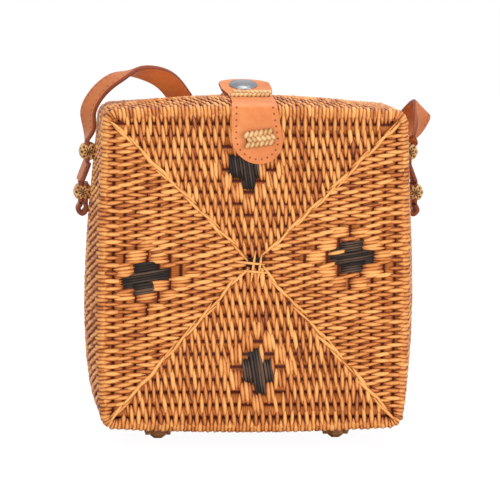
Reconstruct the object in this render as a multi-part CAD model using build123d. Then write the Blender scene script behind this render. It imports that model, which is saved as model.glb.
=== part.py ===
"""Square shoulder bag of coiled grass strands.

Two woven dishes close against each other at an upright seam and turn on two
woven knots at the bottom. A leather tab on the front runs over the top and
snaps to a tab at the back. A doubled leather strap is held at each side by two
woven keepers, falls behind the bag and lies on the surface there.

The bag is laid out about the centre of its seam, with the front towards -Y and
+Z up, and is moved at the end so that it stands on the XY plane.
"""

import math
import os

from build123d import *

os.makedirs("parts", exist_ok=True)

# Woven shells
ring_count = 14
side_pitch = 7.0
upper_pitch = 7.25
lower_pitch = 7.5
ridge_height = 1.3
shell_depth = 40.0
shell_wall = 3.6
wall_coils = 6
seam_gap = 0.3
face_bow = 2.0
side_bulge = 9.0
side_sag = 1.43
top_bulge = 6.5
bottom_bulge = 4.4
corner_radius = 9.0
corner_cut = 0.33
side_facets = 4
rib_width = 2.8
rib_rise = 0.5
weave_gap_length = 2.2
weave_gap_height = 1.3
weave_gap_offset = 3.3

# Dark stepped crosses
motif_depth = 2.0
motif_arm = 8.0
motif_body = 20.0

# Leather
leather = 2.0
leather_gap = 0.25
tab_width = 33.0
tab_waist = 28.0
tab_bottom = 67.0
tab_lean = 5.0
tab_centre = 1.0
flap_width = 35.0
flap_centre = -3.0
flap_pivot = -8.0
fold_play = 1.1
bend_facets = 3
rear_tab_width = 28.0
rear_tab_bottom = 74.0
rear_tab_setback = 3.0

# Snap
snap_centre = 7.6
cap_radius = 9.2
cap_height = 1.5
cap_facets = 32
snap_radius = 4.5
snap_proud = 0.4
snap_stud = 1.1
snap_shank = 2.0
snap_play = 0.3

# Plaited lacings
braid_height = 1.6
braid_base = 0.7
braid_width = 9.0
front_braid_length = 20.5
front_braid_height = 83.6
front_braid_shift = 1.0
upper_braid_length = 26.0
braid_slant = 32.0

# Strap
strap_width = 15.5
strap_thickness = 3.0
strap_layer_gap = 0.2
strap_end_bulge = 1.1
strap_end_drop = 11.5
strap_end_shift = 0.6

# Strap keepers
keeper_radius = 5.4
keeper_rim = 1.9
keeper_depth = 10.6
keeper_low = 41.5
keeper_high = 68.0
keeper_lobes = 6
keeper_end = 0.78
hinge_knot_end = 0.55
slot_play = 0.3
seat_gap = 0.3
stem_sink = 3.0

# Bottom hinge
hinge_spread = 59.0
hinge_knot_radius = 5.25
hinge_knot_length = 10.4
hinge_drop = 5.8
hinge_knot_flat = 0.4
eye_radius = 2.7
eye_width = 2.8
eye_gap = 0.3
pin_radius = 1.1
pin_play = 0.06
hinge_stem = 3.0

half_width = ring_count * side_pitch
top_reach = ring_count * upper_pitch
bottom_reach = ring_count * lower_pitch
face_y = -(shell_depth + seam_gap / 2)
wall_pitch = shell_depth / wall_coils
crest_y = face_y - ridge_height


def faceted_solid(rings):
    """Solid of flat facets through rings that have as many points each."""
    faces = [Face(Wire.make_polygon(ring)) for ring in (rings[0], rings[-1])]
    count = len(rings[0])
    for near, far in zip(rings, rings[1:]):
        for i in range(count):
            j = (i + 1) % count
            for facet in ((near[i], near[j], far[j]), (near[i], far[j], far[i])):
                faces.append(Face(Wire.make_polygon(facet)))
    return Solid(Shell(faces))


def flare(depth, reach):
    """How far a side of the shell bows outwards at a depth behind its face."""
    share = min(max(depth / shell_depth, 0), 1)
    return face_bow + (reach - face_bow) * math.sin(math.pi / 2 * share)


def bowed_side(a, b, outward, bow):
    """Points from a to b on a shallow bow, without b; upright ones sag."""
    sag = side_sag if outward.X else 1
    points = []
    for step in range(side_facets):
        share = step / side_facets
        rise = bow * 4 * share * (1 - share)
        along = share**sag if b.Y > a.Y else 1 - (1 - share) ** sag
        points.append(a + (b - a) * along + outward * rise)
    return points


def shell_outline(depth, inset, corner):
    """Closed outline of a shell at a depth behind its face."""
    y = face_y + depth
    x = half_width - inset
    high = top_reach - inset
    low = -(bottom_reach - inset)
    cut = corner * corner_cut
    sides = [
        ((x, low + corner), (x, high - corner), (1, 0), side_bulge),
        ((x - corner, high), (corner - x, high), (0, 1), top_bulge),
        ((-x, high - corner), (-x, low + corner), (-1, 0), side_bulge),
        ((corner - x, low), (x - corner, low), (0, -1), bottom_bulge),
    ]
    corners = [(x - cut, high - cut), (cut - x, high - cut)]
    corners += [(cut - x, low + cut), (x - cut, low + cut)]
    points = []
    for (a, b, outward, reach), turn in zip(sides, corners):
        bow = flare(depth, reach)
        points += bowed_side(Vector(*a), Vector(*b), Vector(*outward), bow)
        points += [Vector(*b), Vector(*turn)]
    return [Vector(p.X, y, p.Y) for p in points]


def coil_sections():
    """Outlines from the face's edge coil to the rim, at crests and valleys."""
    places = [
        (0, side_pitch, 3),
        (-ridge_height, side_pitch / 2, 5),
        (0.2, 0.9, 8),
        (wall_pitch / 2, 0, corner_radius),
    ]
    for coil in range(1, wall_coils):
        places.append((coil * wall_pitch, ridge_height, corner_radius))
        places.append(((coil + 0.5) * wall_pitch, 0, corner_radius))
    places.append((shell_depth, 0.8, corner_radius))
    return [shell_outline(*place) for place in places]


def shell_cavity():
    """The hollow of a shell, open at the rim."""
    inset = shell_wall + ridge_height
    depths = [shell_wall, shell_depth * 0.4, shell_depth * 0.7, shell_depth + 1]
    outlines = [shell_outline(d, inset, corner_radius - 3) for d in depths]
    return faceted_solid(outlines)


def ring_corner(ring, x_sign, z_sign):
    """Where a ring of the face turns, in X and Z."""
    pitch = upper_pitch if z_sign > 0 else lower_pitch
    return x_sign * ring * side_pitch, z_sign * ring * pitch


def ridge_bar(pitch, half_length):
    """Coils side by side, running along X and laid upwards from z = 0."""
    rows = ring_count - 1
    valley = face_y - 0.1
    back = face_y + 0.4
    outline = [(valley, pitch)]
    for row in range(1, rows):
        outline.append((crest_y, (row + 0.3) * pitch))
        outline.append((crest_y, (row + 0.7) * pitch))
        outline.append((valley, (row + 1) * pitch))
    outline += [(back, rows * pitch), (back, pitch)]
    profile = Wire.make_polygon([(0, y, z) for y, z in outline])
    return extrude(Face(profile), amount=half_length, both=True)


def ridge_quarter(quarter):
    """Coils of one quarter of the face, mitred along its two diagonals."""
    pitch = [upper_pitch, side_pitch, lower_pitch, side_pitch][quarter]
    bar = Rot(0, 90 * quarter, 0) * ridge_bar(pitch, bottom_reach)
    ends = [(1, 1), (1, -1), (-1, -1), (-1, 1)]
    last = ring_count - 1
    x1, z1 = ring_corner(last, *ends[quarter])
    x2, z2 = ring_corner(last, *ends[quarter - 1])
    triangle = Wire.make_polygon([(0, 0, 0), (x1, 0, z1), (x2, 0, z2)])
    prism = extrude(Face(triangle), amount=2 * shell_depth, both=True)
    return bar & prism


def corner_rib(x_sign, z_sign):
    """Strands laid over the mitre from near the centre to a corner."""
    start = Vector(*ring_corner(0.5, x_sign, z_sign))
    end = Vector(*ring_corner(ring_count - 0.9, x_sign, z_sign))
    along = (end - start).normalized()
    across = Vector(-along.Y, along.X) * (rib_width / 2)
    low = face_y + 0.4
    high = crest_y - rib_rise
    profile = [
        (start + across, low),
        (start + across * 0.5, high),
        (start - across * 0.5, high),
        (start - across, low),
    ]
    points = [(p.X, y, p.Y) for p, y in profile]
    face = Face(Wire.make_polygon(points))
    length = (end - start).length
    return extrude(face, amount=length, dir=(along.X, 0, along.Y))


def weave_gaps():
    """Small openings beside the corner ribs, where every second ring turns."""
    gaps = []
    for ring in range(1, ring_count, 2):
        for x_sign in (-1, 1):
            for z_sign in (-1, 1):
                x, z = ring_corner(ring, x_sign, z_sign)
                x -= x_sign * weave_gap_offset
                hole = Box(weave_gap_length, 4 * shell_wall, weave_gap_height)
                gaps.append(Pos(x, face_y, z) * hole)
    return gaps


def woven_shell():
    """The front dish, whole, before crosses and seats are cut."""
    body = faceted_solid(coil_sections())
    body = body - shell_cavity()
    quarters = [ridge_quarter(quarter) for quarter in range(4)]
    ribs = [corner_rib(sx, sz) for sx in (-1, 1) for sz in (-1, 1)]
    start_knot = Box(2 * side_pitch - 1, 2 * ridge_height, 2 * upper_pitch - 1)
    body = body + quarters + ribs + [Pos(0, face_y, 0) * start_knot]
    return body - weave_gaps()


def stepped_cross(quarter, first_ring, shift, step):
    """Prism of a cross four rings long, whose arms step sideways."""
    pitch = [upper_pitch, side_pitch, lower_pitch, side_pitch][quarter]
    blocks = [
        (first_ring, 1, motif_arm, shift - step),
        (first_ring + 1, 2, motif_body, shift),
        (first_ring + 3, 1, motif_arm, shift + step),
    ]
    cross = Part()
    for ring, rings, width, offset in blocks:
        block = Box(width, 6 * motif_depth, rings * pitch)
        centre = (ring + rings / 2) * pitch
        cross += Pos(offset, crest_y + motif_depth - 3 * motif_depth, centre) * block
    cut = Rot(0, 90 * quarter, 0) * cross
    return cut


def wall_reach(depth, z):
    """How far a side wall's crests stand out from the middle at a height."""
    high = top_reach - corner_radius
    low = corner_radius - bottom_reach
    share = ((z - low) / (high - low)) ** (1 / side_sag)
    return half_width + flare(depth, side_bulge) * 4 * share * (1 - share)


def top_crest(depth):
    """Height of the top wall's crests in the middle."""
    return top_reach + flare(depth, top_bulge)


def bottom_crest(x):
    """Height of the rim's underside at a place along the bottom."""
    share = x / (half_width - corner_radius)
    return -bottom_reach - bottom_bulge * (1 - share**2)


def lobed_barrel(radius, length, lobes, end_share):
    """Knot of strands: a lobed barrel along Z, narrower towards both ends."""
    rings = []
    for height, share in ((-0.5, end_share), (-0.2, 1), (0.2, 1), (0.5, end_share)):
        points = []
        for corner in range(2 * lobes):
            reach = radius * share * (1 if corner % 2 == 0 else 0.86)
            angle = math.pi * corner / lobes
            x, y = reach * math.cos(angle), reach * math.sin(angle)
            points.append(Vector(x, y, height * length))
        rings.append(points)
    return faceted_solid(rings)


def tab_path(bottom, end_y):
    """Middle line of leather that goes up the face and over the top wall."""
    lift = leather_gap + leather / 2
    front = crest_y - lift
    turn_z = top_reach - side_pitch / 2 + face_bow
    first_depth = wall_pitch / 2
    last_depth = end_y - face_y
    middle_depth = (first_depth + last_depth) / 2
    wall = [
        (0, face_y + depth, top_crest(depth) + lift + extra)
        for depth, extra in ((first_depth, 0.4), (middle_depth, 0.1), (last_depth, 0))
    ]
    over = Edge.make_three_point_arc(*wall)
    bend = Edge.make_tangent_arc((0, front, turn_z), (0, 0, 1), wall[0])
    rise = Edge.make_line((0, front, bottom), (0, front, turn_z))
    shares = [step / bend_facets for step in range(1, bend_facets + 1)]
    points = [rise @ 0, rise @ 1]
    points += [edge @ share for edge in (bend, over) for share in shares]
    return Wire.make_polygon(points, close=False)


def leather_strip(bottom, end_y, outline):
    """Leather of one thickness along the tab path, trimmed to an outline."""
    path = tab_path(bottom, end_y)
    start = Plane(origin=path @ 0, z_dir=(0, 0, 1), x_dir=(1, 0, 0))
    blank = start * Rectangle(2 * tab_width, leather)
    strip = sweep(blank, path, transition=Transition.RIGHT)
    return strip & outline


def tongue_outline(bottom, width, waist):
    """Prism with a round lower end that narrows to a waist at the top edge."""
    radius = width / 2
    top = top_reach + 2 * top_bulge
    centre = bottom + radius
    disc = Pos(0, centre) * Circle(radius)
    points = [(-radius, centre), (radius, centre), (waist / 2, top_reach - 8)]
    points += [(waist / 2, top), (-waist / 2, top), (-waist / 2, top_reach - 8)]
    sketch = disc + make_face(Polyline(*points, close=True))
    prism = extrude(sketch, amount=2 * shell_depth, both=True)
    return Rot(90, 0, 0) * prism


def braid(length, width):
    """Flat plait: a thin bed with two columns of slanted strands."""
    bed = extrude(Rectangle(length, width - 1), amount=braid_base)
    count = round(length / 4.4)
    pitch = length / count
    plait = bed
    for column in (-1, 1):
        for strand in range(count):
            lean = math.tan(math.radians(braid_slant)) * width / 4
            x = (strand + 0.5) * pitch - length / 2
            points = []
            for u, v in ((-1, -1), (1, -1), (1, 1), (-1, 1)):
                along = x + u * (pitch / 2 - 0.35) - column * v * lean
                points.append((along, column * width / 4 + v * (width / 4 - 0.15)))
            face = make_face(Polyline(*points, close=True))
            lobe = extrude(face, amount=braid_height - 0.2, taper=18)
            plait += Pos(0, 0, 0.2) * lobe
    return plait


def keeper_place(side, z):
    """Centre of a keeper on the crests of a back side wall."""
    depth = -face_y - keeper_depth
    x = wall_reach(depth, z) + seat_gap + keeper_radius
    return Vector(side * x, keeper_depth, z)


def stem(side, place):
    """Ties that go from a keeper into the wall behind it."""
    depth = -face_y - keeper_depth
    inner = wall_reach(depth, place.Z) - stem_sink
    outer = abs(place.X) - keeper_radius + 0.9
    block = Box(outer - inner, strap_width * 0.6, keeper_radius)
    return Pos(side * (outer + inner) / 2, place.Y, place.Z) * block


def smooth_route(stations, steps):
    """Stations of the strap with evenly blended ones between them."""
    out = []
    count = len(stations)
    for i in range(count - 1):
        quad = [stations[max(i - 1, 0)], stations[i], stations[i + 1]]
        quad.append(stations[min(i + 2, count - 1)])
        for step in range(steps):
            t = step / steps
            a = -0.5 * t + t * t - 0.5 * t**3
            b = 1 - 2.5 * t * t + 1.5 * t**3
            c = 0.5 * t + 2 * t * t - 1.5 * t**3
            d = -0.5 * t * t + 0.5 * t**3
            weights = (a, b, c, d)
            out.append(
                tuple(
                    sum((q[part] * w for q, w in zip(quad, weights)), Vector())
                    for part in (0, 1)
                )
            )
    out.append(stations[-1])
    return [(Vector(p.X, p.Y, max(p.Z, lie)), wide) for p, wide in out]


low_left = keeper_place(-1, keeper_low)
high_left = keeper_place(-1, keeper_high)
low_right = keeper_place(1, keeper_low)
high_right = keeper_place(1, keeper_high)
hinge_z = bottom_crest(hinge_spread) - hinge_drop
floor_z = hinge_z - hinge_knot_radius + hinge_knot_flat
lie = floor_z + strap_thickness / 2
layer = (strap_thickness + strap_layer_gap) / 2


def strap_tail(side, low, high):
    """Stations of one end: the tail folded up inside the lower keeper."""
    outward = Vector(side, 0, 0)
    back = Vector(0, 1, 0)
    bulge = layer + strap_end_bulge
    held = keeper_radius + 0.6
    free = held + 1.6
    drop = strap_end_drop
    low_places = [
        (-layer, held),
        (-layer, -held),
        (-layer, -free),
        (strap_end_shift - bulge, -drop),
        (strap_end_shift, -drop - bulge),
        (strap_end_shift + bulge, -drop),
        (layer, -free),
        (layer, -held),
        (layer, held),
        (layer, free),
    ]
    high_places = [(0, -free), (0, -held), (0, held), (0, free)]
    stations = [(low + outward * x + Vector(0, 0, z), back) for x, z in low_places]
    stations += [(high + outward * x + Vector(0, 0, z), back) for x, z in high_places]
    return stations


def strap_route():
    """Middle of the strap and its width direction, from left end to right end."""
    loose = [
        ((-105.2, 10.6, 84.0), (-0.40, 0.92, 0.00)),
        ((-103.5, 11.0, 95.5), (-0.52, 0.85, 0.10)),
        ((-96.5, 12.0, 107.5), (-0.40, 0.87, 0.28)),
        ((-84.5, 15.0, 117.0), (-0.25, 0.92, 0.26)),
        ((-68.5, 22.0, 120.0), (-0.38, 0.85, -0.35)),
        ((-54.0, 32.0, 115.5), (-0.50, 0.55, -0.67)),
        ((-43.0, 43.0, 105.5), (-0.62, 0.42, -0.66)),
        ((-36.0, 51.5, 91.0), (-0.85, 0.40, -0.30)),
        ((-34.5, 56.0, 66.0), (-0.93, 0.36, 0.00)),
        ((-38.0, 59.0, 28.0), (-0.80, 0.60, 0.00)),
        ((-45.0, 61.0, -14.0), (-0.60, 0.80, 0.05)),
        ((-52.5, 62.0, -56.0), (-0.30, 0.95, 0.05)),
        ((-57.0, 62.0, -88.0), (-0.08, 1.00, 0.02)),
        ((-53.0, 62.0, -106.0), (0.00, 1.00, 0.00)),
        ((-40.0, 62.0, lie), (0.00, 1.00, 0.00)),
        ((-14.0, 62.0, lie), (0.00, 1.00, 0.00)),
        ((18.0, 62.0, lie), (0.00, 1.00, 0.00)),
        ((48.0, 62.0, lie), (0.00, 1.00, 0.00)),
        ((70.0, 62.0, lie), (0.00, 1.00, 0.00)),
        ((84.0, 62.0, -106.0), (0.00, 1.00, 0.00)),
        ((88.5, 61.5, -88.0), (0.10, 0.99, 0.00)),
        ((87.0, 60.5, -48.0), (0.45, 0.89, 0.00)),
        ((85.0, 59.0, -4.0), (0.80, 0.60, 0.00)),
        ((85.0, 57.5, 38.0), (0.93, 0.36, -0.05)),
        ((88.5, 55.5, 68.0), (0.92, 0.34, -0.20)),
        ((98.0, 49.5, 83.0), (0.74, 0.40, -0.54)),
        ((108.5, 38.0, 91.5), (0.64, 0.42, -0.64)),
        ((115.5, 30.5, 93.5), (0.64, 0.42, -0.64)),
        ((116.8, 26.0, 91.0), (0.62, 0.44, -0.65)),
        ((113.5, 18.5, 83.5), (0.35, 0.88, -0.32)),
    ]
    stations = strap_tail(-1, low_left, high_left)
    stations += [(Vector(*place), Vector(*wide)) for place, wide in loose]
    return stations + strap_tail(1, low_right, high_right)[::-1]


def shoulder_strap():
    """Ribbon of flat facets between sections set square to the route."""
    route = smooth_route(strap_route(), 2)
    rings = []
    for index, (place, wide) in enumerate(route):
        before = route[max(index - 1, 0)][0]
        after = route[min(index + 1, len(route) - 1)][0]
        ahead = (after - before).normalized()
        out = ahead.cross(wide).normalized()
        across = out.cross(ahead) * (strap_width / 2)
        out = out * (strap_thickness / 2)
        ring = [across + out, out - across, -across - out, across - out]
        rings.append([place + corner for corner in ring])
    return faceted_solid(rings)


def strap_slot(place, thickness):
    """Room for the strap through a keeper."""
    return Pos(*place) * Box(
        thickness + 2 * slot_play, strap_width + 2 * slot_play, 6 * keeper_radius
    )


def keeper(side, place, thickness):
    """Woven keeper with the strap's slot and its ties into the wall."""
    length = strap_width + 2 * slot_play + 2 * keeper_rim
    barrel = lobed_barrel(keeper_radius, length, keeper_lobes, keeper_end)
    barrel = Pos(*place) * Rot(90, 0, 0) * barrel
    whole = barrel + stem(side, place)
    return whole - strap_slot(place, thickness)


def hinge_parts(side):
    """Knot of the back shell, eyes of the front shell, and their pin."""
    x = side * hinge_spread
    turn = Rot(0, 90, 0)
    centre = Pos(x, 0, hinge_z)
    knot = centre * turn * lobed_barrel(
        hinge_knot_radius, hinge_knot_length, keeper_lobes, hinge_knot_end
    )
    top = bottom_crest(x) + stem_sink
    knot_stem = Box(hinge_knot_length / 2, hinge_stem, top - hinge_z)
    knot_tie = Pos(x, 0.6 + hinge_stem / 2, (top + hinge_z) / 2) * knot_stem
    bore = centre * turn * Cylinder(pin_radius + pin_play, 2 * hinge_knot_length)
    worn = Box(4 * hinge_knot_radius, 4 * hinge_knot_radius, 2 * hinge_knot_radius)
    worn = Pos(x, 0, floor_z - hinge_knot_radius) * worn
    knot = knot + knot_tie - bore - worn
    reach = hinge_knot_length / 2 + eye_gap + eye_width / 2
    eyes = Part()
    ties = Part()
    for end in (-1, 1):
        place = x + end * reach
        eye = extrude(RegularPolygon(eye_radius, 8), amount=eye_width / 2, both=True)
        eye = Pos(place, 0, hinge_z) * turn * eye
        tie = Box(eye_width, hinge_stem, top - hinge_z)
        tie = Pos(place, -0.6 - hinge_stem / 2, (top + hinge_z) / 2) * tie
        eyes += eye
        ties += tie
    pin_length = 2 * (reach + eye_width / 2 + 0.6)
    pin = centre * turn * Cylinder(pin_radius, pin_length)
    return knot, eyes + ties - pin, pin, knot_tie, ties


def snap_stack():
    """Flap, cap and both halves of the snap, and the place of the fold."""
    rear_top = top_crest(-face_y - snap_centre) + leather_gap + leather
    fold_z = top_crest(flap_pivot - face_y) + leather_gap + leather / 2
    middle = rear_top + snap_stud + snap_play + snap_proud + leather / 2
    lean = math.degrees(math.atan2(middle - fold_z, snap_centre - flap_pivot))
    return rear_top, fold_z, lean


rear_top, fold_z, flap_lean = snap_stack()
flap_frame = Pos(0, flap_pivot, fold_z) * Rot(flap_lean, 0, 0)
snap_out = (snap_centre - flap_pivot) / math.cos(math.radians(flap_lean))


def closure_flap():
    """Free end of the tab, a round tongue with a rolled hinge edge."""
    nose = Pos(flap_centre, snap_out - 0.6) * Circle(flap_width / 2)
    near = leather * 0.6
    points = [
        (tab_centre - 2.5 - tab_waist / 2, near),
        (tab_centre - 2.5 + tab_waist / 2, near),
        (flap_centre + flap_width / 2, snap_out - 0.6),
        (flap_centre - flap_width / 2, snap_out - 0.6),
    ]
    sketch = nose + make_face(Polyline(*points, close=True))
    keep = Pos(0, near + flap_width) * Rectangle(2 * flap_width, 2 * flap_width)
    sheet = extrude(sketch & keep, amount=leather / 2, both=True)
    roll = Pos(tab_centre - 2.5, 0, 0) * Rot(0, 90, 0)
    roll = roll * extrude(RegularPolygon(leather / 2, 12), tab_waist / 2, both=True)
    web = Pos(tab_centre - 2.5, near / 2 + 0.1, 0) * Box(tab_waist, near + 0.2, leather)
    hole = Pos(flap_centre, snap_out, 0) * Cylinder(snap_shank, 3 * leather)
    return flap_frame * (sheet + roll + web - hole)


def polygon_ring(radius, height):
    """Points of a cap's round edge at a height."""
    turns = [2 * math.pi * step / cap_facets for step in range(cap_facets)]
    return [Vector(radius * math.cos(t), radius * math.sin(t), height) for t in turns]


def snap_cap():
    """Domed metal cap with its shank through the flap."""
    levels = ((0, 1), (0.4, 1), (0.8, 0.9), (1, 0.7))
    rings = [polygon_ring(cap_radius * share, cap_height * z) for z, share in levels]
    dome = Pos(flap_centre, snap_out, leather / 2) * faceted_solid(rings)
    shank = Cylinder(snap_shank, leather + snap_proud)
    shank = Pos(flap_centre, snap_out, -snap_proud / 2) * shank
    return flap_frame * (dome + shank)


def snap_upper():
    """Ring under the flap, riveted by the cap's shank."""
    disc = extrude(RegularPolygon(snap_radius, cap_facets), snap_proud / 2, both=True)
    ring = disc - Cylinder(snap_shank, 2 * snap_proud)
    drop = -(leather + snap_proud) / 2
    return flap_frame * (Pos(flap_centre, snap_out, drop) * ring)


def snap_lower():
    """Lower half of the snap on the rear tab, square to the upper half."""
    face = -leather / 2 - snap_proud - snap_play
    reach = 3 * leather
    head = extrude(RegularPolygon(snap_radius, cap_facets), reach / 2, both=True)
    return flap_frame * Pos(flap_centre, snap_out, face - reach / 2) * head


def moved(shape):
    """A piece set down with the bag standing on the XY plane."""
    return Pos(-shift.X, -shift.Y, -shift.Z) * shape


front = woven_shell()
back = mirror(front, Plane.XZ)

crosses = {
    "top": stepped_cross(0, 7, -8.0, -3.0),
    "right": stepped_cross(1, 7, -7.0, 2.5),
    "bottom": stepped_cross(2, 7, -3.0, -3.0),
    "left": stepped_cross(3, 8, -7.0, -2.5),
}
motifs = {name: front & cross for name, cross in crosses.items()}
for cross in crosses.values():
    front = front - cross

nodes = {}
keepers = {
    "left_lower": (-1, low_left, 2 * (layer + strap_thickness / 2)),
    "left_upper": (-1, high_left, strap_thickness),
    "right_lower": (1, low_right, 2 * (layer + strap_thickness / 2)),
    "right_upper": (1, high_right, strap_thickness),
}
for name, (side, place, thickness) in keepers.items():
    nodes["strap_keeper_" + name] = keeper(side, place, thickness)
    back = back - stem(side, place)

for name, side in (("left", -1), ("right", 1)):
    knot, eyes, pin, knot_tie, eye_ties = hinge_parts(side)
    nodes["hinge_knot_" + name] = knot
    nodes["hinge_eyes_" + name] = eyes
    nodes["hinge_pin_" + name] = pin
    back = back - knot_tie
    front = front - eye_ties

tab_edge = tongue_outline(tab_bottom, tab_width, tab_waist)
tab_edge = Pos(tab_centre, 0, tab_bottom) * Rot(0, -tab_lean, 0) * Pos(
    0, 0, -tab_bottom
) * tab_edge
tab_end = flap_pivot - leather / 2 - fold_play
nodes["front_tab"] = leather_strip(tab_bottom, tab_end, tab_edge)

rear_edge = tongue_outline(rear_tab_bottom, rear_tab_width, rear_tab_width)
rear_edge = Pos(flap_centre, 0, 0) * rear_edge
rear_strip = leather_strip(rear_tab_bottom, -rear_tab_setback, rear_edge)
rear_tab = mirror(rear_strip, Plane.XZ)
lower = snap_lower()
shelf = Pos(0, 0, rear_top - leather) * Box(
    4 * snap_radius, 8 * snap_radius, 4 * leather, align=(Align.CENTER,) * 2 + (Align.MAX,)
)
lower = lower - Pos(flap_centre, snap_centre, 0) * shelf
nodes["rear_tab"] = rear_tab - lower
nodes["snap_lower"] = lower
nodes["closure_flap"] = closure_flap()
nodes["snap_cap"] = snap_cap()
nodes["snap_upper"] = snap_upper()

braid_y = crest_y - leather_gap - leather
face_braid = Pos(tab_centre + front_braid_shift, braid_y, front_braid_height)
face_braid = face_braid * Rot(0, -tab_lean - 3, 0) * Rot(90, 0, 0)
nodes["front_braid_lower"] = face_braid * braid(front_braid_length, braid_width)
upper_y = flap_pivot - leather - braid_width / 2 - 1.0
upper_depth = upper_y - face_y
slope = math.degrees(
    math.atan2(
        top_crest(upper_depth + 4) - top_crest(upper_depth - 4), 8
    )
)
upper_z = top_crest(upper_depth) + leather_gap + leather + 0.25
top_braid = Pos(tab_centre - 2.0, upper_y, upper_z) * Rot(slope, 0, 0)
nodes["front_braid_upper"] = top_braid * braid(upper_braid_length, braid_width)
rear_braid = Pos(flap_centre, -braid_y, rear_tab_bottom + 14) * Rot(-90, 0, 0)
nodes["rear_braid"] = rear_braid * braid(rear_tab_width - 6, braid_width)

nodes["shoulder_strap"] = shoulder_strap()
nodes["front_shell"] = front
nodes["back_shell"] = back
for name, motif in motifs.items():
    nodes["dark_cross_" + name] = motif

whole = Compound([solid for node in nodes.values() for solid in node.solids()])
box = whole.bounding_box()
shift = Vector((box.min.X + box.max.X) / 2, (box.min.Y + box.max.Y) / 2, box.min.Z)
for name, node in nodes.items():
    export_step(moved(node), "parts/" + name + ".step")

print("shift", shift)
print("hinge axis", -shift.Y, hinge_z - shift.Z)
print("flap axis", flap_pivot - shift.Y, fold_z - shift.Z)
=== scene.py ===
"""Looks of a square shoulder bag of coiled grass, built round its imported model."""

import math

import bmesh
import bpy
import numpy as np
from mathutils import Matrix, Quaternion, Vector


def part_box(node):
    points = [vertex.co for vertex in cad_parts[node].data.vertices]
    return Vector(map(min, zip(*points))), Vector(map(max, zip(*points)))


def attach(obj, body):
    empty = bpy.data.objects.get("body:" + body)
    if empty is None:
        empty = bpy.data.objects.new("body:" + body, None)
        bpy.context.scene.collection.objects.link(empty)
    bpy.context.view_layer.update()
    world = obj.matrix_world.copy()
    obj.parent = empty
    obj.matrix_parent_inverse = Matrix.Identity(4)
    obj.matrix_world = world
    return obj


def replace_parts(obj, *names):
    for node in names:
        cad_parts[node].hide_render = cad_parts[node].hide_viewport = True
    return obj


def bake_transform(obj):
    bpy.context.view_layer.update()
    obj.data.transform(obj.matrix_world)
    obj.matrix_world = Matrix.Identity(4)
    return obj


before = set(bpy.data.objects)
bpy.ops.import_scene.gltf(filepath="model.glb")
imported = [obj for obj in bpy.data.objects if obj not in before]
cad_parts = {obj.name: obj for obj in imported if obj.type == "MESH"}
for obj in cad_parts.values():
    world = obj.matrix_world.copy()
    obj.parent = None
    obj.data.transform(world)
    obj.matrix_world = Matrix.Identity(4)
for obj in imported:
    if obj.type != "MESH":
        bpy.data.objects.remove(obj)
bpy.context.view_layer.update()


# Coiled cores of both shells
# Each shell is one long bundle of dry grass, coiled from the middle of its face to its rim.
# It shows only between the strands, darkened with painted shade along the lines where two turns
# meet and round the start of the coil.
mm = 0.001
side_pitch = 7.0 * mm
upper_pitch = 7.25 * mm
lower_pitch = 7.5 * mm
ring_count = 14
shell_depth = 40 * mm
wall_pitch = shell_depth / 6
half_seam = 0.15 * mm
half_width = ring_count * side_pitch
top_reach = ring_count * upper_pitch
bottom_reach = ring_count * lower_pitch
face_bow = 2.0 * mm
side_sag = 1.43
ridge_height = 1.3 * mm
bulges = np.array([6.5, 9.0, 4.4, 9.0]) * mm


def flare(depth, bulge):
    """How far a side bows outwards at a depth behind the face."""
    share = np.clip(depth / shell_depth, 0, 1)
    return face_bow + (bulge - face_bow) * np.sin(math.pi / 2 * share)


shell_low, shell_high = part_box("front_shell")
top_rise = top_reach + flare(shell_depth - wall_pitch / 2, bulges[0])
middle = Vector(
    ((shell_low.x + shell_high.x) / 2, shell_high.y + half_seam, shell_high.z - top_rise)
)
face_y = -(shell_depth + half_seam)

# The coil starts beside the middle of the face and turns 12 times before its edge turn.
line_count = 12
weave_centre = (-0.8 * mm, 2.7 * mm)
turns = [(1, 0, 0, 1), (0, -1, 1, 0), (-1, 0, 0, -1), (0, 1, -1, 0)]
first_lines = np.array([9.5, 11.0, 9.2, 10.6]) * mm
pitches = np.array([upper_pitch, side_pitch, lower_pitch, side_pitch])
off_centre = np.array([
    (weave_centre[0] * ux + weave_centre[1] * uz, weave_centre[0] * sx + weave_centre[1] * sz)
    for ux, uz, sx, sz in turns
])
edge_lines = pitches + np.array([1.7, 0, 0, 0]) * mm
last_lines = ring_count * pitches - edge_lines - off_centre[:, 1]
line_pitches = (last_lines - first_lines) / (line_count - 1)


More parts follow.
